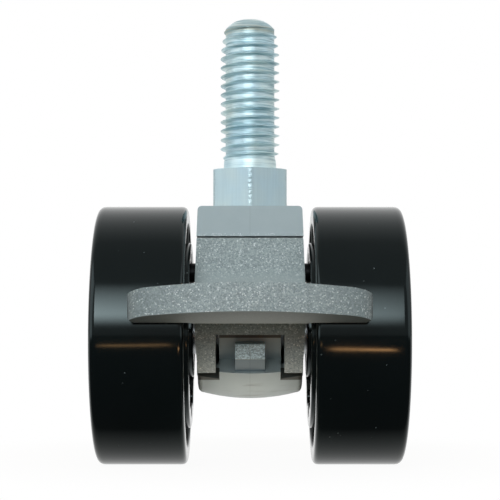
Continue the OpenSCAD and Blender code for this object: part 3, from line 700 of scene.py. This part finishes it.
# White paper: plain white to the camera, with a small share of matt paper near the object, where a faint
# shadow shows. Reflections and bounced light find a sheet that ends in front of the wheels on a dark table.
paper, tree, place = new_material("white_paper")
spread = add_node(tree, "VectorMath", {0: place, 1: (0.0, 0.0, FLOOR_Z)}, operation="DISTANCE")
fade = add_node(tree, "MapRange", {"Value": spread.outputs["Value"], "From Min": FADE_FROM * MM,
                                   "From Max": FADE_TO * MM, "To Min": 0.95},
                interpolation_type="SMOOTHSTEP")
along = add_node(tree, "SeparateXYZ", {"Vector": place}).outputs["Y"]
sheet = add_node(tree, "MapRange", {"Value": along, "From Min": SHEET_EDGE_Y * MM,
                                    "From Max": SHEET_FULL_Y * MM, "To Min": 0.03})
shown = add_node(tree, "Math", {0: shows_white(tree, sheet.outputs[0]), 1: fade.outputs[0]},
                 operation="MULTIPLY")
seen = add_node(tree, "Math", {0: sheet.outputs[0], 1: add_node(tree, "LightPath").outputs["Is Camera Ray"]},
                operation="MAXIMUM")
pale = add_node(tree, "Mix", {"Factor": seen.outputs[0], 6: linear("#3c3f40"), 7: linear("#f6f1e6")},
                data_type="RGBA")
matt = add_node(tree, "BsdfDiffuse", {"Color": pale.outputs[2]})
glow = add_node(tree, "Emission", {"Color": (1.0, 1.0, 1.0, 1.0), "Strength": 1.0})
use_shader(tree, add_node(tree, "MixShader", {0: shown.outputs[0], 1: matt.outputs[0], 2: glow.outputs[0]}))
floor.data.materials.append(paper)

# White surround: plain white to the camera, and as light it is darker towards the camera's side.
world = bpy.data.worlds.new("white_surround")
bpy.context.scene.world = world
world.use_nodes = True
tree = world.node_tree
tree.nodes.clear()
direction = add_node(tree, "SeparateXYZ", {"Vector": add_node(tree, "TexCoord").outputs["Generated"]})
room = add_node(tree, "MapRange", {"Value": direction.outputs["Y"], "From Min": 0.0, "From Max": 0.95,
                                   "To Min": 0.3, "To Max": 1.0})
level = add_node(tree, "Math", {0: room.outputs[0], 1: shows_white(tree, room.outputs[0])},
                 operation="MAXIMUM")
surround = add_node(tree, "Background", {"Color": (1.0, 1.0, 1.0, 1.0), "Strength": level.outputs[0]})
add_node(tree, "OutputWorld", {"Surface": surround.outputs[0]})


def soft_panel(name, azimuth, elevation, distance, width, height, radiance, colour):
    """Area light facing the axle from a direction in degrees, where azimuth 0 is the camera's side.

    Distance, width and height are in metres, and the camera doesn't see the light itself."""
    lamp = bpy.data.lights.new(name, "AREA")
    lamp.shape = "RECTANGLE"
    lamp.size = width
    lamp.size_y = height
    lamp.energy = radiance * math.pi * width * height
    lamp.color = linear(colour)[:3]
    panel = bpy.data.objects.new(name, lamp)
    bpy.context.scene.collection.objects.link(panel)
    around, up = math.radians(azimuth), math.radians(elevation)
    panel.location = (distance * math.sin(around) * math.cos(up),
                      AXLE_Y * MM - distance * math.cos(around) * math.cos(up),
                      AXLE_Z * MM + distance * math.sin(up))
    panel.rotation_euler = (math.pi / 2.0 - up, 0.0, around)
    panel.visible_camera = False
    return panel


# The front box's cloth is graded: dark along its foot, brightest a third of the way up, and fading from
# there to its top and towards the right.
front_box = soft_panel("front_box", azimuth=-5.0, elevation=25.0, distance=0.5, width=0.36, height=0.35,
                       radiance=7.0, colour="#f6fbff")
front_box.data.use_nodes = True
tree = front_box.data.node_tree
tree.nodes.clear()
cloth = add_node(tree, "SeparateXYZ", {"Vector": add_node(tree, "NewGeometry").outputs["Parametric"]})
foot = add_node(tree, "MapRange", {"Value": cloth.outputs["Y"], "From Min": CLOTH_FOOT,
                                   "From Max": CLOTH_PEAK}, interpolation_type="SMOOTHSTEP")
top = add_node(tree, "MapRange", {"Value": cloth.outputs["Y"], "From Min": CLOTH_PEAK, "To Min": 1.0,
                                  "To Max": 0.0})
graded = add_node(tree, "Math", {0: foot.outputs[0], 1: top.outputs[0]}, operation="MULTIPLY")
aside = add_node(tree, "MapRange", {"Value": cloth.outputs["X"], "To Min": 1.2, "To Max": 0.5})
light = add_node(tree, "Math", {0: graded.outputs[0], 1: aside.outputs[0]}, operation="MULTIPLY")
lit_cloth = add_node(tree, "Emission", {"Strength": light.outputs[0]})
add_node(tree, "OutputLight", {"Surface": lit_cloth.outputs[0]})

# The key box and the paper's bounce give light alone. The side panels and the warm strips show only as
# reflections in the gloss.
key_box = soft_panel("key_box", azimuth=-2.0, elevation=46.0, distance=0.5, width=0.3, height=0.3,
                     radiance=2.75, colour="#f6fbff")
left_panel = soft_panel("left_panel", azimuth=-66.0, elevation=18.0, distance=0.6, width=0.5, height=0.6,
                        radiance=1.15, colour="#f4faff")
right_panel = soft_panel("right_panel", azimuth=68.0, elevation=18.0, distance=0.6, width=0.5, height=0.6,
                         radiance=0.62, colour="#f4faff")
left_strip = soft_panel("warm_strip_left", azimuth=-14.0, elevation=-7.4, distance=0.09, width=0.027,
                        height=0.0014, radiance=7.0, colour="#ffba80")
right_strip = soft_panel("warm_strip_right", azimuth=13.5, elevation=-10.5, distance=0.09, width=0.024,
                         height=0.0022, radiance=14.0, colour="#ffb277")
paper_bounce = soft_panel("paper_bounce", azimuth=0.0, elevation=-90.0, distance=0.0197, width=0.017,
                          height=0.018, radiance=2.3, colour="#ffead6")
paper_bounce.location.y += BOUNCE_Y * MM
for light_only in (key_box, paper_bounce):
    light_only.visible_glossy = False
for mirrored in (left_panel, right_panel, left_strip, right_strip):
    mirrored.visible_diffuse = False

camera = bpy.data.objects.new("camera", bpy.data.cameras.new("camera"))
bpy.context.scene.collection.objects.link(camera)
camera.data.lens = LENS
camera.data.sensor_width = 36.0
camera.data.clip_start = 0.01
camera.location = (0.0, (AXLE_Y - CAMERA_DISTANCE) * MM, (AXLE_Z + CAMERA_RISE) * MM)
camera.rotation_euler = (math.radians(CAMERA_TILT), 0.0, 0.0)
bpy.context.scene.camera = camera
bpy.context.scene.view_settings.view_transform = "Standard"
